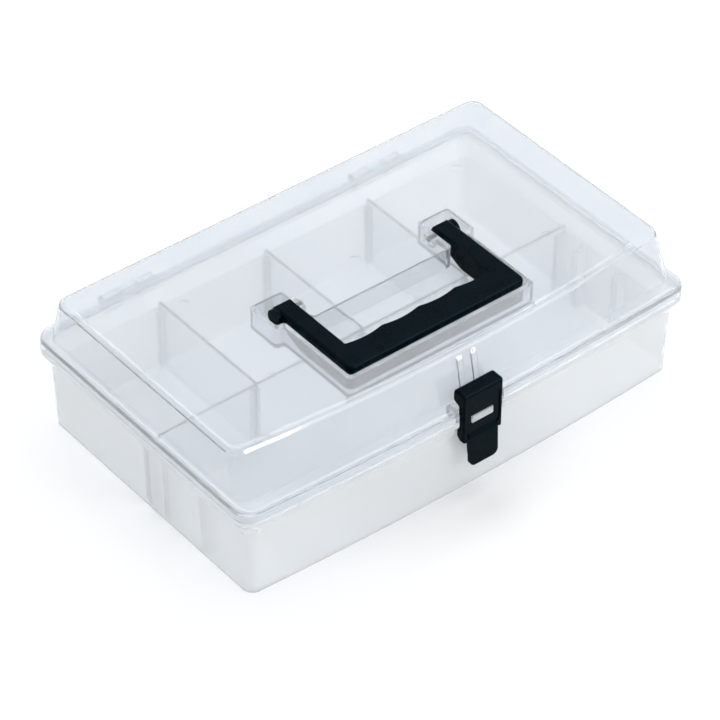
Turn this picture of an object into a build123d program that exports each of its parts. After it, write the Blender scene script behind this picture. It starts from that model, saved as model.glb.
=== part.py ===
from build123d import *
from math import cos, radians, sin
import os

os.makedirs("parts", exist_ok=True)

# Clear storage case with a hinged lid, a bail handle sunk in the lid, one front latch
# and loose dividers standing in slots. Origin: middle of the underside of the base tray.
# X runs along the case, the front faces -Y, Z is up. Millimetres.

# Base tray
base_length = 320.0
base_depth = 193.0
front_bow = 4.6
draft = 1.2
tray_wall = 2.0
tray_floor = 2.4
tray_corner = 8.0
foot_round = 2.0

# Rim that both mouldings share
flare_start = 47.6
flare_height = 10.0
rim_overhang = 5.4
tray_rim_height = 3.4
seam_gap = 0.3
rim_corner = 12.0
lip_height = 4.2
lip_thickness = 1.5
lip_root = 3.0

# Lid
lid_wall = 1.8
lid_rim_height = 8.0
rim_round = 4.0
dome_height = 30.3
dome_end_step = 4.6
dome_back_step = 8.1
dome_front_step = 10.1
dome_corner = 9.0
crown_end_lean = 2.5
crown_back_lean = 6.6
crown_front_lean = 11.0
crown_bow = 9.6
crown_round = 4.0
roll_angles = (12.0, 38.0, 64.0, 90.0)
gate_mark_radius = 3.4
gate_mark_depth = 0.25
gate_mark_x = 103.0
gate_mark_y = 41.0
gate_mark_shift = -3.0
gate_mark_centre = 8.0

# Handle
handle_width = 131.0
handle_setback = 13.0
handle_rise = 2.7
handle_depth = 16.6
handle_round = 2.4
handle_corner = 4.0
handle_skin = 3.0
arm_width = 11.4
arm_end = 2.6
arm_end_edge = 1.6
arm_slim_depth = 10.5
arm_taper_start = 10.0
arm_taper_end = 24.0
grip_width = 19.0
grip_ribs = 5
grip_rib = 1.5
grip_rib_inset = 3.0
finger_count = 4
finger_depth = 1.8
knuckle_radius = 5.5
knuckle_y = -1.5
knuckle_drop = 6.0
knuckle_side = 2.6
pivot_radius = 1.9
pivot_reach = 6.6

# Well in the lid that takes the handle
well_side_gap = 1.9
well_front_gap = 2.3
well_floor_gap = 0.4
well_back = 11.5
well_corner = 2.5
ear_gap = 5.0
ear_front = 11.0
island_gap = 1.6
island_front = 18.0
boss_length = 3.0
boss_half = 4.2

# Latch
latch_width = 29.4
latch_cheek = 2.6
latch_plate = 2.2
latch_stand = 1.6
latch_lift = 6.0
hood_front = 6.0
hood_back = 4.4
hood_rise = 5.3
hood_drop = 2.6
hood_round = 2.4
hood_bore = 3.9
hood_end_angle = 51.0
bar_radius = 2.0
bar_seat = 1.7
lug_radius = 3.3
lug_width = 4.0
lug_spread = 10.4
lug_neck = 3.2
lug_foot_drop = 1.9
lug_foot_rise = 1.5
lug_rib_drop = 3.3
lug_rib_rise = 1.4
body_reach = 10.0
body_edge = 1.0
cheek_depth = 5.6
lobe_depth = 6.7
lobe_height = 9.5
lobe_round = 3.0
panel_inset = 2.2
panel_depth = 0.7
panel_corner = 3.0
tab_width = 21.0
tab_length = 20.0
tab_overlap = 4.3
tab_thickness = 2.4
tab_offset = 0.9
tab_flare = 0.8
tab_corner = 4.0
tab_gusset = 2.0
tab_gusset_length = 11.0
slot_width = 17.6
slot_height = 6.6
slot_drop = 4.8
catch_gap = 1.0
catch_reach = 0.5
notch_gap = 1.5
tray_notch = 0.4
lid_notch = 2.0

# Back hinges
hinge_x = 95.0
hinge_barrel = 4.0
hinge_pin_radius = 1.5
hinge_knuckle = 12.0
hinge_knuckle_gap = 0.4
hinge_gap = 0.5
pin_head_radius = 2.5
pin_head = 1.2

# Dividers and their slots
divider_thickness = 1.6
divider_show = 5.0
divider_pitch = 80.0
divider_gap = 0.5
divider_seat = 0.3
long_divider_y = -0.2
spare_slots = (-18.2, -53.4)
slot_rib = 1.2
side_rib_reach = 6.0
back_rib_reach = 3.4
slot_rib_drop = 1.6

# Fits, how deep a rib is rooted in its wall, and how far a cutting body overshoots
running_gap = 0.05
slide_gap = 0.3
root = 0.5
overcut = 1.0

# Values that follow from the sizes above
flare_end = flare_start + flare_height
seam_height = flare_end + tray_rim_height
rim_top = seam_height + lid_rim_height
lid_top = rim_top + dome_height
draft_slope = draft / flare_start
half_length = base_length / 2
half_depth = base_depth / 2
rim_half_length = half_length + draft + rim_overhang
rim_half_depth = half_depth + draft + rim_overhang
dome_half_length = rim_half_length - dome_end_step
dome_back = rim_half_depth - dome_back_step
dome_front = rim_half_depth - dome_front_step
crown_half_length = dome_half_length - crown_end_lean
crown_back = dome_back - crown_back_lean
crown_front = dome_front - crown_front_lean
lip_outset = lid_wall + slide_gap
hinge_y = rim_half_depth + hinge_gap + hinge_barrel
slot_gap = divider_thickness + 2 * slide_gap
rib_offset = (slot_gap + slot_rib) / 2
handle_top = lid_top + handle_rise
handle_front = crown_front - handle_setback
knuckle_z = handle_top - knuckle_drop
handle_half = handle_width / 2
arm_inner = handle_half - arm_width
arm_middle = handle_half - arm_width / 2
knuckle_outer = handle_half + knuckle_side
handle_bottom = handle_top - handle_depth
grip_back = handle_front - grip_width
island_half = arm_inner - island_gap
pivot_bore = pivot_radius + running_gap
well_floor = handle_bottom - well_floor_gap
tray_front = half_depth + draft + front_bow
latch_axis_y = -tray_front - latch_stand
latch_axis_z = rim_top + latch_lift
latch_front = latch_axis_y - hood_front
latch_top = latch_axis_z + hood_rise
plate_back = latch_front + latch_plate
cheek_inner = latch_width / 2 - latch_cheek
bar_end = cheek_inner + bar_seat
notch_half = latch_width / 2 + notch_gap
lug_foot_top = rim_top - lug_foot_drop
lug_foot_bottom = seam_height + lug_foot_rise
lug_rib_top = lid_top - lug_rib_drop
slot_bottom = seam_height - slot_drop
body_bottom = slot_bottom - body_reach
tab_bottom = body_bottom - tab_length
tab_top = body_bottom + tab_overlap
slot_rib_top = flare_start - slot_rib_drop
divider_top = slot_rib_top + divider_show
tray_notch_y = -tray_front - tray_notch
lid_notch_y = -dome_front - front_bow - lid_notch


def plan(height, half_x, front, back, bow, corner):
    """Closed outline of the case at one height, with a bowed front edge"""
    with BuildSketch(Plane.XY.offset(height)) as outline:
        with BuildLine():
            Polyline((-half_x, -front), (-half_x, back), (half_x, back), (half_x, -front))
            ThreePointArc((half_x, -front), (0, -front - bow), (-half_x, -front))
        make_face()
        fillet(outline.vertices(), corner)
    return outline.sketch


def tray_plan(height, grow, corner):
    """Outline of the tray's outer wall at a height, moved out by grow"""
    lean = draft_slope * min(height, flare_start) + grow
    return plan(height, half_length + lean, half_depth + lean, half_depth + lean, front_bow, corner)


def rim_plan(height, inset):
    """Outline of the shared rim at a height, moved in by inset"""
    return tray_plan(height, rim_overhang - inset, rim_corner - inset)


def dome_size(height):
    """Half length, front, back and front bow of the dome, which draws in from rim to crown"""
    share = (height - rim_top) / (lid_top - rim_top)
    low = (dome_half_length, dome_front, dome_back, front_bow)
    high = (crown_half_length, crown_front, crown_back, crown_bow)
    return [a + (b - a) * share for a, b in zip(low, high)]


def dome_plan(height, inset):
    """Outline of the lid's dome at a height, moved in by inset"""
    half_x, front, back, bow = dome_size(height)
    return plan(height, half_x - inset, front - inset, back - inset, bow, dome_corner - inset)


def dome_front_y(height):
    """Outer face of the dome's front wall at mid length"""
    _, front, _, bow = dome_size(height)
    return -front - bow


def roll_steps(radius):
    """Drop below a face and inset from a wall, at each step of the round between them"""
    return [(radius * (1 - sin(radians(a))), radius * (1 - cos(radians(a)))) for a in roll_angles]


def tray_foot():
    """Outlines up the rounded foot of the tray, from the underside to the wall"""
    return [tray_plan(drop, -inset, tray_corner - inset) for drop, inset in reversed(roll_steps(foot_round))]


def rolled_rim():
    """Outlines up the round over the lid's rim"""
    return [rim_plan(rim_top - drop, inset) for drop, inset in roll_steps(rim_round)]


def dome_body(low, high, inset, radius):
    """Solid inside the lid's dome, moved in by inset, with its upper edge rolled over"""
    crown = [dome_plan(high - drop, inset + step) for drop, step in roll_steps(radius)]
    with BuildPart() as dome:
        loft([dome_plan(low, inset), *crown], ruled=True)
    return dome.part


def tray_body(inset, top, foot):
    """Solid inside the tray's outer surface, moved in by inset, that stands on the foot outlines"""
    corner = tray_corner - inset
    with BuildPart() as body:
        loft([*foot, tray_plan(flare_start, -inset, corner), rim_plan(flare_end, inset)], ruled=True)
        extrude(rim_plan(flare_end, inset), amount=top - flare_end)
    return body.part


def rim_ring(outer, inner, low, high):
    """Closed ring that follows the rim between two insets"""
    with BuildPart() as ring:
        extrude(rim_plan(low, outer), amount=high - low)
        extrude(rim_plan(low, inner), amount=high - low, mode=Mode.SUBTRACT)
    return ring.part


def front_block(half_width, back_y, low, high):
    """Block in front of the case, from back_y forwards, where the latch sits"""
    with BuildPart() as block:
        with BuildSketch(Plane.XY.offset(low)):
            with Locations((0, back_y)):
                Rectangle(2 * half_width, back_y - latch_front, align=(Align.CENTER, Align.MAX))
        extrude(amount=high - low)
    return block.part


def side_slab(points, x_middle, width):
    """Plate of a given width in X whose side view in Y and Z is the polygon"""
    with BuildPart() as slab:
        with BuildSketch(Plane.YZ.offset(x_middle)):
            with BuildLine():
                Polyline(*points, close=True)
            make_face()
        extrude(amount=width / 2, both=True)
    return slab.part


def cross_rod(radius, x_middle, width, y, z):
    """Round rod along X"""
    with BuildPart() as rod:
        with BuildSketch(Plane.YZ.offset(x_middle)):
            with Locations((y, z)):
                Circle(radius)
        extrude(amount=width / 2, both=True)
    return rod.part


def slot_ribs(x, y, along_x, reach, low, high):
    """Pair of upright ribs that hold the edge of one divider"""
    size = (reach, slot_rib) if along_x else (slot_rib, reach)
    step = (0, rib_offset) if along_x else (rib_offset, 0)
    with BuildPart() as ribs:
        with BuildSketch(Plane.XY.offset(low)):
            with Locations((x - step[0], y - step[1]), (x + step[0], y + step[1])):
                Rectangle(*size)
        extrude(amount=high - low)
    return ribs.part


# Hinge positions, and the knuckles that belong to each moulding
knuckle_step = hinge_knuckle + hinge_knuckle_gap
hinge_centres = (-hinge_x, hinge_x)
tray_knuckles = [x + side * knuckle_step for x in hinge_centres for side in (-1, 1)]
pin_bore = hinge_pin_radius + running_gap
pin_length = 2 * knuckle_step + hinge_knuckle
barrel_side = hinge_barrel * sin(radians(45))
tray_web = [
    (rim_half_depth - root, seam_height),
    (hinge_y, seam_height),
    (hinge_y + barrel_side, seam_height - barrel_side),
    (half_depth + draft - root, flare_start + root),
    (rim_half_depth - root, flare_end),
]
lid_web = [
    (rim_half_depth - root, seam_height + seam_gap),
    (hinge_y, seam_height + seam_gap),
    (hinge_y + barrel_side, seam_height + barrel_side),
    (rim_half_depth - root, rim_top - rim_round + root),
]

# Base tray: one moulding with a flared rim, a lip that locates the lid, a notch and
# a catch for the latch, hinge knuckles behind, and slot ribs for the dividers.
catch_width = slot_width - 2 * catch_gap
catch_bottom = slot_bottom + catch_gap
catch_top = slot_bottom + slot_height - catch_gap
catch_tip = latch_front + catch_reach
pocket_half = notch_half + tray_wall
divider_places = (-divider_pitch, 0, divider_pitch)
rib_foot = tray_floor - root
shelf_back = lid_notch_y + lid_wall + slide_gap
side_rib_middle = half_length - root - (side_rib_reach + tray_wall) / 2
back_rib_middle = half_depth - root - (back_rib_reach + tray_wall) / 2

cavity_floor = tray_plan(tray_floor, -tray_wall, tray_corner - tray_wall)

with BuildPart() as tray_cavity:
    add(tray_body(tray_wall, rim_top, [cavity_floor]))
    add(front_block(pocket_half, tray_notch_y + tray_wall, 0, rim_top), mode=Mode.SUBTRACT)
    add(front_block(pocket_half, shelf_back, seam_height - lip_root, rim_top), mode=Mode.SUBTRACT)

with BuildPart() as base_tray:
    add(tray_body(0, seam_height, tray_foot()))
    add(tray_cavity.part, mode=Mode.SUBTRACT)
    add(rim_ring(tray_wall - root, lip_outset + lip_thickness, seam_height - lip_root, seam_height))
    add(rim_ring(lip_outset, lip_outset + lip_thickness, seam_height, seam_height + lip_height))
    add(front_block(pocket_half + slide_gap, shelf_back, seam_height, rim_top), mode=Mode.SUBTRACT)
    add(front_block(notch_half, tray_notch_y, 0, rim_top), mode=Mode.SUBTRACT)
    with BuildSketch(Plane.XY.offset(catch_bottom)):
        with Locations((0, catch_tip)):
            Rectangle(catch_width, tray_notch_y + root - catch_tip, align=(Align.CENTER, Align.MIN))
    extrude(amount=catch_top - catch_bottom)
    for x in tray_knuckles:
        add(cross_rod(hinge_barrel, x, hinge_knuckle, hinge_y, seam_height))
        add(side_slab(tray_web, x, hinge_knuckle))
    for x in hinge_centres:
        add(cross_rod(pin_bore, x, pin_length + 2 * overcut, hinge_y, seam_height), mode=Mode.SUBTRACT)
    for y in (long_divider_y, *spare_slots):
        for side in (-1, 1):
            reach = side_rib_reach + tray_wall
            add(slot_ribs(side * side_rib_middle, y, True, reach, rib_foot, slot_rib_top))
    for x in divider_places:
        add(slot_ribs(x, back_rib_middle, False, back_rib_reach + tray_wall, rib_foot, slot_rib_top))
base_tray.part.label = "base_tray"
export_step(base_tray.part, "parts/base_tray.step")


def well_plan(height, grow):
    """Outline of the handle well: a U with ears at the pivots, round an island"""
    corner = well_corner
    half = handle_half + well_side_gap + grow
    ear_half = knuckle_outer + ear_gap + grow
    front = handle_front + well_front_gap + grow
    back = well_back + grow
    with BuildSketch(Plane.XY.offset(height)) as well:
        with Locations((0, -front)):
            Rectangle(2 * half, front + back, align=(Align.CENTER, Align.MIN))
        with Locations((0, back)):
            Rectangle(2 * ear_half, back + ear_front + grow, align=(Align.CENTER, Align.MAX))
        with Locations((0, -island_front + grow)):
            Rectangle(2 * (island_half - grow), 2 * back + island_front, align=(Align.CENTER, Align.MIN),
                      mode=Mode.SUBTRACT)
        fillet(well.vertices(), corner)
    return well.sketch


# Lid: rolled rim, domed walls, sunk well for the handle, lugs and bar for the latch.
with BuildPart() as lid_cavity:
    extrude(rim_plan(seam_height, lid_wall), amount=rim_top - lid_wall - seam_height)
    add(dome_body(rim_top - lid_wall, lid_top - lid_wall, lid_wall, crown_round - lid_wall))
    add(front_block(notch_half + lid_wall, lid_notch_y + lid_wall, 0, rim_top), mode=Mode.SUBTRACT)

lug_places = (-lug_spread / 2, lug_spread / 2)
lug_arm = [
    (latch_axis_y - lug_neck / 2, latch_axis_z),
    (latch_axis_y + lug_neck / 2, latch_axis_z),
    (lid_notch_y + root, lug_foot_top),
    (lid_notch_y + root, lug_foot_bottom),
]
rib_shoulder = lug_rib_top - 2 * lug_rib_rise
rib_low = rim_top - root
lug_rib = [
    (dome_front_y(rib_low) - lug_rib_rise, rib_low),
    (dome_front_y(rib_shoulder) - lug_rib_rise, rib_shoulder),
    (dome_front_y(lug_rib_top) + root, lug_rib_top),
    (dome_front_y(rib_low) + root, rib_low),
]
boss_outer = island_half - lid_wall + root
boss_inner = island_half - lid_wall - boss_length
boss_top = lid_top - lid_wall + root

with BuildPart() as lid_shell:
    loft([rim_plan(seam_height + seam_gap, 0), *rolled_rim()], ruled=True)
    add(dome_body(rim_top - root, lid_top, 0, crown_round))
    add(lid_cavity.part, mode=Mode.SUBTRACT)
    add(front_block(notch_half, lid_notch_y, 0, rim_top + overcut), mode=Mode.SUBTRACT)
    extrude(well_plan(well_floor - lid_wall, lid_wall), amount=lid_top - well_floor)
    extrude(well_plan(well_floor, 0), amount=lid_top - well_floor + overcut, mode=Mode.SUBTRACT)
    for side in (-1, 1):
        with BuildSketch(Plane.YZ.offset(side * boss_inner)):
            with Locations((knuckle_y, boss_top)):
                Rectangle(2 * boss_half, boss_top - knuckle_z + boss_half, align=(Align.CENTER, Align.MAX))
        extrude(amount=side * (boss_outer - boss_inner))
        bore_middle = side * (island_half + boss_inner) / 2
        bore_length = island_half - boss_inner + 2 * overcut
        add(cross_rod(pivot_bore, bore_middle, bore_length, knuckle_y, knuckle_z), mode=Mode.SUBTRACT)
    for x in lug_places:
        add(side_slab(lug_arm, x, lug_width))
        add(cross_rod(lug_radius, x, lug_width, latch_axis_y, latch_axis_z))
        add(side_slab(lug_rib, x, lug_width))
    add(cross_rod(bar_radius, 0, 2 * bar_end, latch_axis_y, latch_axis_z))
    for x in hinge_centres:
        add(cross_rod(hinge_barrel, x, hinge_knuckle, hinge_y, seam_height))
        add(side_slab(lid_web, x, hinge_knuckle))
        add(cross_rod(pin_bore, x, hinge_knuckle + 2 * root, hinge_y, seam_height), mode=Mode.SUBTRACT)
    with BuildSketch(Plane.XY.offset(lid_top)):
        with Locations((0, gate_mark_shift)):
            with GridLocations(2 * gate_mark_x, 2 * gate_mark_y, 2, 2):
                Circle(gate_mark_radius)
        with Locations((0, gate_mark_centre)):
            Circle(gate_mark_radius)
    extrude(amount=-gate_mark_depth, mode=Mode.SUBTRACT)
lid_shell.part.label = "lid_shell"
export_step(lid_shell.part, "parts/lid_shell.step")

# Handle: a bail moulded as a channel that opens downwards, with cross ribs in the grip,
# four finger hollows, and a knuckle with an inward pivot on each arm.
arm_side = [
    (arm_end, knuckle_z),
    (arm_end, handle_top - arm_end_edge),
    (arm_end - arm_end_edge, handle_top),
    (-handle_front, handle_top),
    (-handle_front, handle_bottom),
    (-arm_taper_end, handle_bottom),
    (-arm_taper_start, handle_top - arm_slim_depth),
    (knuckle_y, knuckle_z - knuckle_radius),
]
finger_pitch = 2 * arm_inner / finger_count
finger_radius = ((finger_pitch / 2) ** 2 + finger_depth ** 2) / (2 * finger_depth)
channel_top = handle_top - handle_skin
channel_front = handle_front - handle_skin
channel_back = grip_back + finger_depth + handle_skin
channel_depth = channel_front - channel_back
rib_pitch = 2 * (handle_half - handle_skin) / (grip_ribs + 1)
grip_rib_foot = handle_bottom + grip_rib_inset

with BuildPart() as handle:
    for side in (-1, 1):
        add(side_slab(arm_side, side * arm_middle, arm_width))
    with BuildSketch(Plane.XY.offset(handle_bottom)):
        with Locations((0, -handle_front)):
            Rectangle(handle_width, grip_width, align=(Align.CENTER, Align.MIN))
        with Locations((0, -grip_back + finger_radius - finger_depth)):
            with GridLocations(finger_pitch, 1, finger_count, 1):
                Circle(finger_radius, mode=Mode.SUBTRACT)
    extrude(amount=handle_depth)
    fillet(handle.edges().filter_by(Axis.Z).group_by(Axis.Y)[0], handle_corner)
    front_top = handle.edges().group_by(Axis.Z)[-1].sort_by(Axis.Y)[0:3]
    fillet(front_top, handle_round)
    with BuildSketch(Plane.XY.offset(handle_bottom)):
        with Locations((0, -channel_front)):
            Rectangle(handle_width - 2 * handle_skin, channel_depth, align=(Align.CENTER, Align.MIN))
        with Locations((-arm_middle, -arm_taper_end), (arm_middle, -arm_taper_end)):
            arm_channel = arm_width - 2 * handle_skin
            Rectangle(arm_channel, channel_front - arm_taper_end, align=(Align.CENTER, Align.MAX))
    extrude(amount=channel_top - handle_bottom, mode=Mode.SUBTRACT)
    with BuildSketch(Plane.XY.offset(grip_rib_foot)):
        with Locations((0, -channel_front + channel_depth / 2)):
            with GridLocations(rib_pitch, 1, grip_ribs, 1):
                Rectangle(grip_rib, channel_depth + 2 * root)
    extrude(amount=channel_top + root - grip_rib_foot)
    for side in (-1, 1):
        knuckle_middle = side * (arm_inner + knuckle_outer) / 2
        add(cross_rod(knuckle_radius, knuckle_middle, knuckle_outer - arm_inner, knuckle_y, knuckle_z))
        pivot_middle = side * (arm_inner + (root - pivot_reach) / 2)
        add(cross_rod(pivot_radius, pivot_middle, pivot_reach + root, knuckle_y, knuckle_z))
handle.part.label = "handle"
export_step(handle.part, "parts/handle.step")

# Latch: a hood that turns on the lid's bar, cheeks, a slotted plate that snaps over the
# tray's catch, and a pull tab that stands forward of the plate.
tab_back = plate_back - tab_offset
tab_side = [
    (plate_back, tab_top),
    (plate_back, body_bottom + tab_offset / 2),
    (tab_back, body_bottom - tab_offset / 2),
    (tab_back - tab_flare, tab_bottom),
    (tab_back - tab_flare - tab_thickness, tab_bottom),
    (tab_back - tab_thickness, body_bottom + tab_thickness / 2),
    (latch_front + panel_depth, tab_top),
]
gusset_foot = body_bottom - tab_gusset_length
tab_gusset_side = [
    (latch_front, body_bottom + tab_gusset),
    (plate_back, body_bottom + tab_gusset),
    (plate_back, body_bottom - tab_gusset),
    (tab_back, gusset_foot),
    (tab_back - tab_thickness / 2, gusset_foot),
]
hood_end = radians(hood_end_angle)
hood_reach = 2 * hood_front
hood_mouth = [
    (latch_axis_y, latch_axis_z),
    (latch_axis_y + hood_reach * cos(hood_end), latch_axis_z + hood_reach * sin(hood_end)),
    (latch_axis_y + hood_reach, latch_axis_z - hood_reach),
    (plate_back, latch_axis_z - hood_reach),
    (plate_back, latch_axis_z),
]
cheek_side = [
    (latch_front, latch_axis_z),
    (latch_axis_y + hood_back, latch_axis_z),
    (latch_axis_y + hood_back, latch_axis_z - hood_drop),
    (latch_front + cheek_depth, latch_axis_z - hood_drop - hood_round),
    (latch_front + cheek_depth, body_bottom + lobe_height),
    (latch_front + lobe_depth, body_bottom + lobe_height - lobe_round),
    (latch_front + lobe_depth, body_bottom + lobe_round / 2),
    (latch_front + lobe_depth - lobe_round, body_bottom - lobe_round / 2),
    (latch_front, body_bottom - lobe_round / 2),
]
panel_low = body_bottom + panel_inset
panel_high = latch_axis_z - panel_inset / 2

with BuildPart() as latch:
    with BuildSketch(Plane.YZ.offset(-latch_width / 2)) as hood_side:
        with Locations((latch_front, latch_top)):
            Rectangle(hood_front + hood_back, hood_rise, align=(Align.MIN, Align.MAX))
        fillet(hood_side.vertices().group_by(Axis.Y)[-1], hood_round)
    extrude(amount=latch_width)
    for side in (-1, 1):
        add(side_slab(cheek_side, side * (latch_width - latch_cheek) / 2, latch_cheek))
    with BuildSketch(Plane.XZ.offset(-latch_front)):
        with Locations((0, body_bottom)):
            Rectangle(latch_width, latch_axis_z - body_bottom, align=(Align.CENTER, Align.MIN))
    extrude(amount=-latch_plate)
    chamfer(latch.faces().sort_by(Axis.X)[0].edges(), body_edge)
    chamfer(latch.faces().sort_by(Axis.X)[-1].edges(), body_edge)
    add(cross_rod(hood_bore, 0, 2 * cheek_inner, latch_axis_y, latch_axis_z), mode=Mode.SUBTRACT)
    add(side_slab(hood_mouth, 0, 2 * cheek_inner), mode=Mode.SUBTRACT)
    add(cross_rod(bar_radius + running_gap, 0, 2 * (bar_end + running_gap), latch_axis_y, latch_axis_z),
        mode=Mode.SUBTRACT)
    with BuildSketch(Plane.XZ.offset(-latch_front)):
        with Locations((0, panel_low)):
            RectangleRounded(latch_width - 2 * panel_inset, panel_high - panel_low, panel_corner,
                             align=(Align.CENTER, Align.MIN))
    extrude(amount=-panel_depth, mode=Mode.SUBTRACT)
    with BuildSketch(Plane.XZ.offset(overcut - latch_front)):
        with Locations((0, slot_bottom)):
            Rectangle(slot_width, slot_height, align=(Align.CENTER, Align.MIN))
    extrude(amount=-latch_plate - 2 * overcut, mode=Mode.SUBTRACT)
    add(side_slab(tab_side, 0, tab_width))
    for side in (-1, 1):
        add(side_slab(tab_gusset_side, side * (tab_width - tab_gusset) / 2, tab_gusset))
    tab_corners = latch.edges().filter_by(Axis.Y).group_by(Axis.Z)[0]
    fillet(tab_corners, tab_corner)
latch.part.label = "latch"
export_step(latch.part, "parts/latch.step")

# Hinge pins: headed steel pins through the knuckles at the back
for name, x in (("hinge_pin_left", -hinge_x), ("hinge_pin_right", hinge_x)):
    outward = 1 if x > 0 else -1
    with BuildPart() as hinge_pin:
        add(cross_rod(hinge_pin_radius, x, pin_length, hinge_y, seam_height))
        head_middle = x + outward * (pin_length / 2 + pin_head / 2)
        add(cross_rod(pin_head_radius, head_middle, pin_head, hinge_y, seam_height))
    hinge_pin.part.label = name
    export_step(hinge_pin.part, f"parts/{name}.step")

# Long divider: stands across the whole tray in the middle slots and carries slot ribs
# for the short dividers on its back face.
divider_foot = tray_floor + divider_seat
foot_half = half_length + draft_slope * divider_foot - tray_wall - divider_gap
top_half = half_length + draft_slope * divider_top - tray_wall - divider_gap
long_back = long_divider_y + divider_thickness / 2

with BuildPart() as long_divider:
    with BuildSketch(Plane.XZ.offset(-long_divider_y)):
        with BuildLine():
            Polyline((-foot_half, divider_foot), (foot_half, divider_foot), (top_half, divider_top),
                     (-top_half, divider_top), close=True)
        make_face()
    extrude(amount=divider_thickness / 2, both=True)
    for x in divider_places:
        rib_middle = long_back + (back_rib_reach - root) / 2
        add(slot_ribs(x, rib_middle, False, back_rib_reach + root, divider_foot, slot_rib_top))
long_divider.part.label = "long_divider"
export_step(long_divider.part, "parts/long_divider.step")

# Short dividers: loose panels between the long divider and the back wall
short_front = long_back + divider_gap
foot_back = half_depth + draft_slope * divider_foot - tray_wall - divider_gap
top_back = half_depth + draft_slope * divider_top - tray_wall - divider_gap
short_side = [
    (short_front, divider_foot),
    (foot_back, divider_foot),
    (top_back, divider_top),
    (short_front, divider_top),
]
for name, x in zip(("divider_left", "divider_middle", "divider_right"), divider_places):
    with BuildPart() as divider:
        add(side_slab(short_side, x, divider_thickness))
    divider.part.label = name
    export_step(divider.part, f"parts/{name}.step")
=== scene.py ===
"""Clear storage case with a hinged lid: finishes, studio stage and camera.

Sizes are in metres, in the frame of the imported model: X along the case, -Y to the front, Z up.
"""

import math

import bpy
from bpy.props import FloatProperty, FloatVectorProperty, PointerProperty
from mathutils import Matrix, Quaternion, Vector

bl_info = {
    "name": "Storage Case",
    "version": (1, 0, 0),
    "blender": (4, 5, 0),
    "location": "View3D > Sidebar > Storage Case",
    "description": "Finishes and stage for a clear storage case with a black handle and latch",
    "category": "Object",
}

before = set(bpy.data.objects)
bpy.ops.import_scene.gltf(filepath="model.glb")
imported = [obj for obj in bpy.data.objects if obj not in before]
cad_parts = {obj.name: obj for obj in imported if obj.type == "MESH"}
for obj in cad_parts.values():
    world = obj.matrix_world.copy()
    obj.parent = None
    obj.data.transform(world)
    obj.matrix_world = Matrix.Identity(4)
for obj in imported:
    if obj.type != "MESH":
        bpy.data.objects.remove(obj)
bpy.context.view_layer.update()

WHITE = (1.0, 1.0, 1.0, 1.0)
FULL_WHITE = 1.0  # strength at which a glow or a sky renders as plain white

CLEAR_BEND = 1.35  # refraction of the clear plastic, lower than the real 1.5 or so
GRAIN_CLOUD = 1.6  # share of the grain in the cloudy colour of the clear plastic
FLOW_CLOUD = 0.6  # share of the flow marks in it
CLOUD_START = 0.5  # what the two have to pass before it shows
FLOW_BLUR = 0.05  # roughness that the flow marks add

RUB_SIZE = 0.02  # size of the rubbed areas on the black plastic, in metres
RUB_BLUR = 0.12  # roughness that rubbing adds
GRAIN_BLUR = 0.06  # roughness that the grain takes away
BLACK_GLOSS = 0.035
# painted reflection colour: the black plastic's gloss is tinted blue, a painted bluish cast of the
# surroundings in its reflections
BLACK_GLOSS_PAINTED_TINT = (0.6, 0.88, 1.0)

STREAK_STRETCH = (0.02, 1, 1)  # the drawing marks run along X, as the pins do
STREAK_SHADE = 0.8  # colour of a mark against the steel round it
STREAK_BLUR = 0.15  # roughness that the marks add
STREAK_DEPTH = 0.00001

FIBRE_SIZE = 0.004  # fibres of the floor's paper, in metres
PAPER_BLUR = 0.85
FIBRE_BLUR = 0.1  # roughness that the fibres add
PAPER_GLOSS = 0.1

# Width and height of each lamp, and its place, in metres
KEY_LAMP = (2.0, 1.8), Vector((0.35, 0.45, 2.3))
FILL_LAMP = (1.4, 1.4), Vector((1.0, -2.0, 1.1))
STRIP_LAMP = (1.8, 0.4), Vector((1.15, -1.6, 1.35))

SENSOR_WIDTH = 36.0  # millimetres
CLIP_END = 50.0  # metres


class Number:
    """A number in a shader, which adds its Math nodes as an expression is written"""

    def __init__(self, shader, socket):
        self.shader = shader
        self.socket = socket

    def maths(self, operation, *values):
        node = self.shader.node("ShaderNodeMath", {"operation": operation}, dict(enumerate(values)))
        return Number(self.shader, node.outputs[0])

    def __add__(self, other):
        return self.maths("ADD", self, other)

    def __sub__(self, other):
        return self.maths("SUBTRACT", self, other)

    def __mul__(self, other):
        return self.maths("MULTIPLY", self, other)

    def __rsub__(self, other):
        return self.maths("SUBTRACT", other, self)

    __radd__ = __add__
    __rmul__ = __mul__


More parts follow.
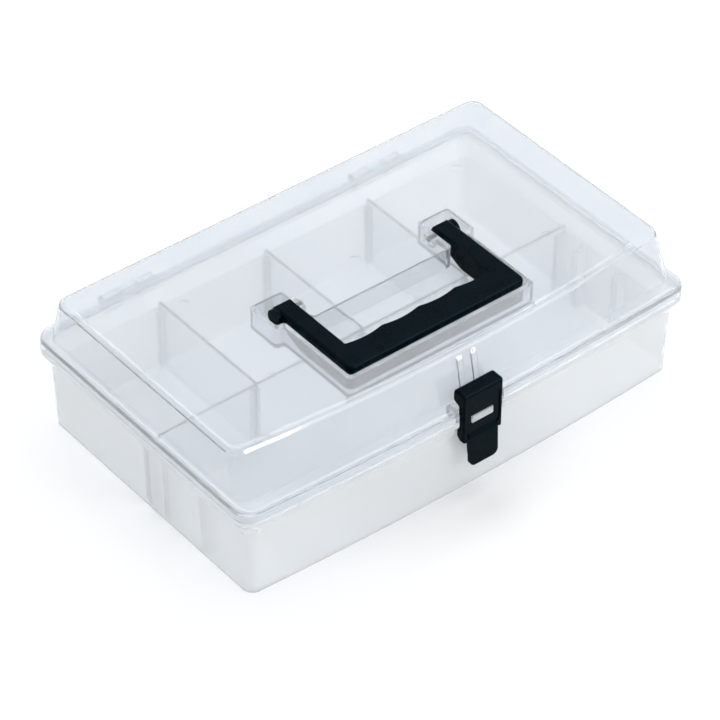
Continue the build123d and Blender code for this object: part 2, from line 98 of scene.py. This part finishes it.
class Finish:
    """A material or a sky, and the nodes that make it"""

    def __init__(self, owner):
        self.owner = owner
        owner.use_nodes = True
        self.tree = owner.node_tree
        self.tree.nodes.clear()

    def node(self, kind, settings=None, values=None):
        """A node of a kind, with its settings first and then its sockets' values or links"""
        node = self.tree.nodes.new(kind)
        for key, setting in (settings or {}).items():
            setattr(node, key, setting)
        for key, value in (values or {}).items():
            self.feed(node.inputs[key], value)
        return node

    def feed(self, socket, value):
        """Links a socket to a number or an output, or sets its plain value"""
        if isinstance(value, Number):
            self.tree.links.new(value.socket, socket)
        elif isinstance(value, bpy.types.NodeSocket):
            self.tree.links.new(value, socket)
        else:
            socket.default_value = value

    def number(self, kind, output, settings=None, values=None):
        """A number that a node gives"""
        return Number(self, self.node(kind, settings, values).outputs[output])

    def place(self):
        """The point on the piece, in metres, in the frame of the case"""
        return self.node("ShaderNodeTexCoord").outputs["Object"]

    def noise(self, size, detail=3.0, roughness=0.6, stretch=(1, 1, 1)):
        """Soft mottling from 0 to 1, with blotches of about the given size in metres"""
        scale = [part / size for part in stretch]
        mapping = self.node("ShaderNodeMapping", None, {"Vector": self.place(), "Scale": scale})
        values = {
            "Vector": mapping.outputs[0],
            "Scale": 1.0,
            "Detail": detail,
            "Roughness": roughness,
        }
        return self.number("ShaderNodeTexNoise", "Fac", None, values)

    def blend(self, amount, first, second):
        """Colour between two colours"""
        settings = {"data_type": "RGBA"}
        # 6 and 7, and the output 2, are the node's sockets for colours
        values = {0: amount, 6: first, 7: second}
        return self.node("ShaderNodeMix", settings, values).outputs[2]

    def bump(self, height, depth):
        """Surface relief of the given depth in metres"""
        values = {"Strength": 1.0, "Distance": depth, "Height": height}
        return self.node("ShaderNodeBump", None, values).outputs[0]

    def mixed(self, amount, first, second):
        """Shader between two shaders"""
        values = {0: amount, 1: first.outputs[0], 2: second.outputs[0]}
        return self.node("ShaderNodeMixShader", None, values)

    def white_rays(self):
        """1 for rays from the lens, off gloss or through plastic, and 0 for diffuse rays"""
        path = self.node("ShaderNodeLightPath")
        seen = Number(self, path.outputs["Is Camera Ray"])
        seen = seen.maths("MAXIMUM", seen, path.outputs["Is Glossy Ray"])
        return seen.maths("MAXIMUM", seen, path.outputs["Is Transmission Ray"])

    def shows(self, shader, output="ShaderNodeOutputMaterial"):
        """Ends in this shader"""
        self.node(output, None, {"Surface": shader.outputs[0]})
        return self.owner


def with_alpha(colour):
    """A colour with full alpha"""
    return (*colour, 1.0)


class ClearSettings(bpy.types.PropertyGroup):
    """Clear moulded plastic"""

    tray_tint: FloatVectorProperty(
        name="Tray tint", description="What the tray's wall lets through", subtype="COLOR",
        default=(0.972, 0.988, 1.0)
    )
    lid_tint: FloatVectorProperty(
        name="Lid tint", description="What the lid's wall lets through", subtype="COLOR",
        default=(0.985, 0.99, 1.0)
    )
    body: FloatVectorProperty(
        name="Body", description="Colour where the plastic is cloudier", subtype="COLOR",
        default=(0.86, 0.90, 0.945)
    )
    tray_shade: FloatVectorProperty(
        name="Tray shade", description="Lamplight that a face of the tray lets through",
        subtype="COLOR", default=(0.96, 0.965, 0.97)
    )
    lid_shade: FloatVectorProperty(
        name="Lid shade", description="Lamplight that a face of the lid lets through",
        subtype="COLOR", default=(0.94, 0.95, 0.96)
    )
    tray_haze: FloatProperty(
        name="Tray haze", description="Share of light that the tray scatters", default=0.34
    )
    lid_haze: FloatProperty(
        name="Lid haze", description="Share of light that the lid and the dividers scatter",
        default=0.13
    )
    roughness: FloatProperty(name="Roughness", description="Blur of the gloss", default=0.05)
    grain_size: FloatProperty(
        name="Grain size", description="Size of the moulded grain", unit="LENGTH", default=0.0016
    )
    grain_depth: FloatProperty(
        name="Grain depth", description="Height of the moulded grain", unit="LENGTH",
        default=0.00002
    )
    flow_size: FloatProperty(
        name="Flow size", description="Size of the flow marks", unit="LENGTH", default=0.045
    )


class BlackSettings(bpy.types.PropertyGroup):
    """Black moulded plastic"""

    colour: FloatVectorProperty(
        name="Colour", description="Colour of the plastic", subtype="COLOR",
        default=(0.0003, 0.0034, 0.0058)
    )
    worn: FloatVectorProperty(
        name="Worn colour", description="Colour where it is rubbed", subtype="COLOR",
        default=(0.0014, 0.0072, 0.0115)
    )
    roughness: FloatProperty(name="Roughness", description="Blur of the gloss", default=0.25)
    grain_size: FloatProperty(
        name="Grain size", description="Size of the etched grain", unit="LENGTH", default=0.0007
    )
    grain_depth: FloatProperty(
        name="Grain depth", description="Height of the etched grain", unit="LENGTH", default=0.00004
    )


class SteelSettings(bpy.types.PropertyGroup):
    """Drawn steel wire of the hinge pins"""

    colour: FloatVectorProperty(
        name="Colour", description="Colour of the steel", subtype="COLOR",
        default=(0.56, 0.57, 0.59)
    )
    roughness: FloatProperty(name="Roughness", description="Blur of the shine", default=0.28)
    streak: FloatProperty(
        name="Streak", description="Width of the drawing marks", unit="LENGTH", default=0.0003
    )


class StageSettings(bpy.types.PropertyGroup):
    """Studio floor, light and camera"""

    floor: FloatVectorProperty(
        name="Floor", description="Colour of the floor", subtype="COLOR",
        default=(0.96, 0.965, 0.97)
    )
    glow: FloatProperty(
        name="Glow", description="White added to the floor as the camera sees it", default=0.09
    )
    fade_start: FloatProperty(
        name="Fade start", description="From the middle to where the floor starts to turn white",
        unit="LENGTH", default=0.6
    )
    fade_end: FloatProperty(
        name="Fade end", description="From the middle to where the floor is all white",
        unit="LENGTH", default=1.6
    )
    floor_size: FloatProperty(
        name="Floor size", description="Side of the floor", unit="LENGTH", default=14.0
    )
    sky: FloatProperty(name="Sky", description="Strength of the light from all round", default=0.44)
    key: FloatProperty(
        name="Key", description="Power of the large soft lamp", unit="POWER", default=35.0
    )
    fill: FloatProperty(
        name="Fill", description="Power of the soft front lamp", unit="POWER", default=14.0
    )
    strip: FloatProperty(
        name="Strip", description="Power of the narrow lamp, which lights no matt surface",
        unit="POWER", default=40.0
    )
    azimuth: FloatProperty(
        name="Azimuth", description="Camera's turn round the case", subtype="ANGLE",
        default=math.radians(-39.02)
    )
    elevation: FloatProperty(
        name="Elevation", description="Camera's height angle", subtype="ANGLE",
        default=math.radians(40.62)
    )
    roll: FloatProperty(
        name="Roll", description="Camera's tilt", subtype="ANGLE", default=math.radians(0.34)
    )
    distance: FloatProperty(
        name="Distance", description="From the camera to its aim", unit="LENGTH", default=2.1942
    )
    aim: FloatVectorProperty(
        name="Aim", description="Point that the camera looks at", subtype="TRANSLATION",
        default=(0.0070, 0.0117, 0.0157)
    )
    lens: FloatProperty(name="Lens", description="Focal length", unit="CAMERA", default=182.0)


class CaseSettings(bpy.types.PropertyGroup):
    """All settings of the case"""

    clear: PointerProperty(type=ClearSettings)
    black: PointerProperty(type=BlackSettings)
    steel: PointerProperty(type=SteelSettings)
    stage: PointerProperty(type=StageSettings)


def clear_plastic(name, settings, kind, cloud, grain):
    """Clear plastic with a faint haze, moulded grain and slow flow marks

    kind is tray or lid, and picks the colours. cloud and grain, from 0 to 1, are how much the
    cloudy colour and the grain show. For shadow and diffuse rays the plastic is a plain
    transparent face, so that the lamps reach what is inside.
    """
    finish = Finish(bpy.data.materials.new(name))
    tint, shade, haze = (getattr(settings, f"{kind}_{part}") for part in ("tint", "shade", "haze"))
    flow = finish.noise(settings.flow_size, detail=2.0, roughness=0.45)
    fine = finish.noise(settings.grain_size)
    cloudy = cloud * (GRAIN_CLOUD * fine + FLOW_CLOUD * flow - CLOUD_START)
    glass = finish.node(
        "ShaderNodeBsdfPrincipled",
        None,
        {
            "Base Color": finish.blend(cloudy, with_alpha(tint), with_alpha(settings.body)),
            "Roughness": settings.roughness + FLOW_BLUR * flow,
            "IOR": CLEAR_BEND,
            "Transmission Weight": 1.0 - haze,
            "Normal": finish.bump(fine, settings.grain_depth * grain),
        },
    )
    open_part = finish.node("ShaderNodeBsdfTransparent", None, {"Color": with_alpha(shade)})
    path = finish.node("ShaderNodeLightPath")
    shadow = Number(finish, path.outputs["Is Shadow Ray"])
    passes = shadow.maths("MAXIMUM", shadow, path.outputs["Is Diffuse Ray"])
    return finish.shows(finish.mixed(passes, glass, open_part))


def black_plastic(name, settings):
    """Black plastic with an etched grain and slightly rubbed areas"""
    finish = Finish(bpy.data.materials.new(name))
    grain = finish.noise(settings.grain_size)
    rubbed = finish.noise(RUB_SIZE, detail=4.0)
    colour, worn = with_alpha(settings.colour), with_alpha(settings.worn)
    shader = finish.node(
        "ShaderNodeBsdfPrincipled",
        None,
        {
            "Base Color": finish.blend(rubbed * rubbed, colour, worn),
            "Roughness": settings.roughness + RUB_BLUR * rubbed - GRAIN_BLUR * grain,
            "Specular IOR Level": BLACK_GLOSS,
            # painted reflection colour: blue tint on the gloss, standing in for bluish surroundings
            "Specular Tint": with_alpha(BLACK_GLOSS_PAINTED_TINT),
            "Normal": finish.bump(grain, settings.grain_depth),
        },
    )
    return finish.shows(shader)


def drawn_steel(name, settings):
    """Bright steel with fine marks along the wire"""
    finish = Finish(bpy.data.materials.new(name))
    streaks = finish.noise(settings.streak, detail=2.0, stretch=STREAK_STRETCH)
    mark = [STREAK_SHADE * part for part in settings.colour]
    shader = finish.node(
        "ShaderNodeBsdfPrincipled",
        None,
        {
            "Base Color": finish.blend(streaks, with_alpha(settings.colour), with_alpha(mark)),
            "Metallic": 1.0,
            "Roughness": settings.roughness + STREAK_BLUR * streaks,
            "Normal": finish.bump(streaks, STREAK_DEPTH),
        },
    )
    return finish.shows(shader)


def paint(node_name, material):
    """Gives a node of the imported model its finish"""
    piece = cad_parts[node_name]
    piece.data.materials.clear()
    piece.data.materials.append(material)


class CASE_OT_tray(bpy.types.Operator):
    """Finish of the base tray"""

    bl_idname = "storage_case.tray"
    bl_label = "Base Tray"

    def execute(self, context):
        settings = context.scene.storage_case.clear
        material = clear_plastic("Tray clear plastic", settings, "tray", cloud=0.2, grain=0.5)
        paint("base_tray", material)
        return {"FINISHED"}


class CASE_OT_lid(bpy.types.Operator):
    """Finish of the lid, which is cloudier and has more grain than the tray"""

    bl_idname = "storage_case.lid"
    bl_label = "Lid"

    def execute(self, context):
        settings = context.scene.storage_case.clear
        material = clear_plastic("Lid clear plastic", settings, "lid", cloud=1.0, grain=1.0)
        paint("lid_shell", material)
        return {"FINISHED"}


class CASE_OT_dividers(bpy.types.Operator):
    """Finish of the loose dividers"""

    bl_idname = "storage_case.dividers"
    bl_label = "Dividers"

    def execute(self, context):
        settings = context.scene.storage_case.clear
        material = clear_plastic("Divider clear plastic", settings, "lid", cloud=0.2, grain=0.3)
        for name in ("long_divider", "divider_left", "divider_middle", "divider_right"):
            paint(name, material)
        return {"FINISHED"}


class CASE_OT_handle(bpy.types.Operator):
    """Finish of the handle"""

    bl_idname = "storage_case.handle"
    bl_label = "Handle"

    def execute(self, context):
        paint("handle", black_plastic("Handle black plastic", context.scene.storage_case.black))
        return {"FINISHED"}


class CASE_OT_latch(bpy.types.Operator):
    """Finish of the latch"""

    bl_idname = "storage_case.latch"
    bl_label = "Latch"

    def execute(self, context):
        paint("latch", black_plastic("Latch black plastic", context.scene.storage_case.black))
        return {"FINISHED"}


class CASE_OT_hinge_pins(bpy.types.Operator):
    """Finish of the hinge pins"""

    bl_idname = "storage_case.hinge_pins"
    bl_label = "Hinge Pins"

    def execute(self, context):
        material = drawn_steel("Pin drawn steel", context.scene.storage_case.steel)
        for name in ("hinge_pin_left", "hinge_pin_right"):
            paint(name, material)
        return {"FINISHED"}


class CASE_OT_stage(bpy.types.Operator):
    """Floor, soft studio light and camera"""

    bl_idname = "storage_case.stage"
    bl_label = "Stage"

    def execute(self, context):
        settings = context.scene.storage_case.stage
        add_floor(settings)
        add_sky(settings)
        add_lamp("Key lamp", settings.key, *KEY_LAMP)
        add_lamp("Fill lamp", settings.fill, *FILL_LAMP)
        strip = add_lamp("Strip lamp", settings.strip, *STRIP_LAMP)
        strip.visible_diffuse = False
        add_camera(settings)
        context.scene.view_settings.view_transform = "Standard"
        return {"FINISHED"}


def add_floor(settings):
    """Wide pale floor under the case, which turns white far from it for all but diffuse rays"""
    half = settings.floor_size / 2
    mesh = bpy.data.meshes.new("Studio floor")
    corners = [(-half, -half, 0), (half, -half, 0), (half, half, 0), (-half, half, 0)]
    mesh.from_pydata(corners, [], [(0, 1, 2, 3)])
    floor = bpy.data.objects.new("studio_floor", mesh)
    bpy.context.scene.collection.objects.link(floor)
    finish = Finish(bpy.data.materials.new("Studio floor paper"))
    fibres = finish.noise(FIBRE_SIZE)
    paper = finish.node(
        "ShaderNodeBsdfPrincipled",
        None,
        {
            "Base Color": with_alpha(settings.floor),
            "Roughness": PAPER_BLUR + FIBRE_BLUR * fibres,
            "Specular IOR Level": PAPER_GLOSS,
        },
    )
    glow = finish.node("ShaderNodeEmission", None, {"Strength": settings.glow})
    near = finish.node("ShaderNodeAddShader", None, {0: paper.outputs[0], 1: glow.outputs[0]})
    place = {0: finish.place()}
    reach = finish.number("ShaderNodeVectorMath", "Value", {"operation": "LENGTH"}, place)
    far = finish.number(
        "ShaderNodeMapRange",
        "Result",
        {"interpolation_type": "SMOOTHSTEP"},
        {"Value": reach, "From Min": settings.fade_start, "From Max": settings.fade_end},
    )
    backdrop = finish.node("ShaderNodeEmission", None, {"Strength": FULL_WHITE})
    white = finish.mixed(far, near, backdrop)
    mesh.materials.append(finish.shows(finish.mixed(finish.white_rays(), paper, white)))


def add_sky(settings):
    """Even light from all round, which all but diffuse rays see as white"""
    finish = Finish(bpy.data.worlds.new("Studio sky"))
    dim = finish.node("ShaderNodeBackground", None, {"Color": WHITE, "Strength": settings.sky})
    full = finish.node("ShaderNodeBackground", None, {"Color": WHITE, "Strength": FULL_WHITE})
    sky = finish.mixed(finish.white_rays(), dim, full)
    bpy.context.scene.world = finish.shows(sky, "ShaderNodeOutputWorld")


def add_lamp(name, power, size, place):
    """Soft lamp, as wide and high as size says, that faces the case"""
    lamp = bpy.data.lights.new(name, "AREA")
    lamp.shape = "RECTANGLE"
    lamp.energy = power
    lamp.size, lamp.size_y = size
    holder = bpy.data.objects.new(name, lamp)
    holder.location = place
    holder.rotation_mode = "QUATERNION"
    holder.rotation_quaternion = (-place).to_track_quat("-Z", "Y")
    bpy.context.scene.collection.objects.link(holder)
    return holder


def add_camera(settings):
    """Long lens from the front left and above"""
    camera = bpy.data.cameras.new("Studio camera")
    camera.lens = settings.lens
    camera.sensor_width = SENSOR_WIDTH
    camera.clip_end = CLIP_END
    holder = bpy.data.objects.new("Studio camera", camera)
    turn = settings.azimuth
    rise = settings.elevation
    flat = math.cos(rise)
    back = Vector((math.sin(turn) * flat, -math.cos(turn) * flat, math.sin(rise)))
    holder.location = Vector(settings.aim) + settings.distance * back
    holder.rotation_mode = "QUATERNION"
    tilt = Quaternion((0, 0, 1), settings.roll)
    holder.rotation_quaternion = (-back).to_track_quat("-Z", "Y") @ tilt
    bpy.context.scene.collection.objects.link(holder)
    bpy.context.scene.camera = holder


OPERATORS = (
    CASE_OT_tray,
    CASE_OT_lid,
    CASE_OT_dividers,
    CASE_OT_handle,
    CASE_OT_latch,
    CASE_OT_hinge_pins,
    CASE_OT_stage,
)


class CASE_PT_panel(bpy.types.Panel):
    """Buttons and settings of the case"""

    bl_idname = "CASE_PT_panel"
    bl_label = "Storage Case"
    bl_space_type = "VIEW_3D"
    bl_region_type = "UI"
    bl_category = "Storage Case"

    def draw(self, context):
        settings = context.scene.storage_case
        for operator in OPERATORS:
            self.layout.operator(operator.bl_idname)
        for group in (settings.clear, settings.black, settings.steel, settings.stage):
            box = self.layout.box()
            for name in group.__annotations__:
                box.prop(group, name)


CLASSES = (
    ClearSettings,
    BlackSettings,
    SteelSettings,
    StageSettings,
    CaseSettings,
    *OPERATORS,
    CASE_PT_panel,
)


def register():
    """Adds the settings, operators and panel"""
    for item in CLASSES:
        bpy.utils.register_class(item)
    bpy.types.Scene.storage_case = PointerProperty(type=CaseSettings)


def unregister():
    """Takes them away again"""
    del bpy.types.Scene.storage_case
    for item in reversed(CLASSES):
        bpy.utils.unregister_class(item)


def main():
    """Builds the whole scene"""
    register()
    bpy.ops.storage_case.tray()
    bpy.ops.storage_case.lid()
    bpy.ops.storage_case.dividers()
    bpy.ops.storage_case.handle()
    bpy.ops.storage_case.latch()
    bpy.ops.storage_case.hinge_pins()
    bpy.ops.storage_case.stage()


if __name__ == "__main__":
    main()
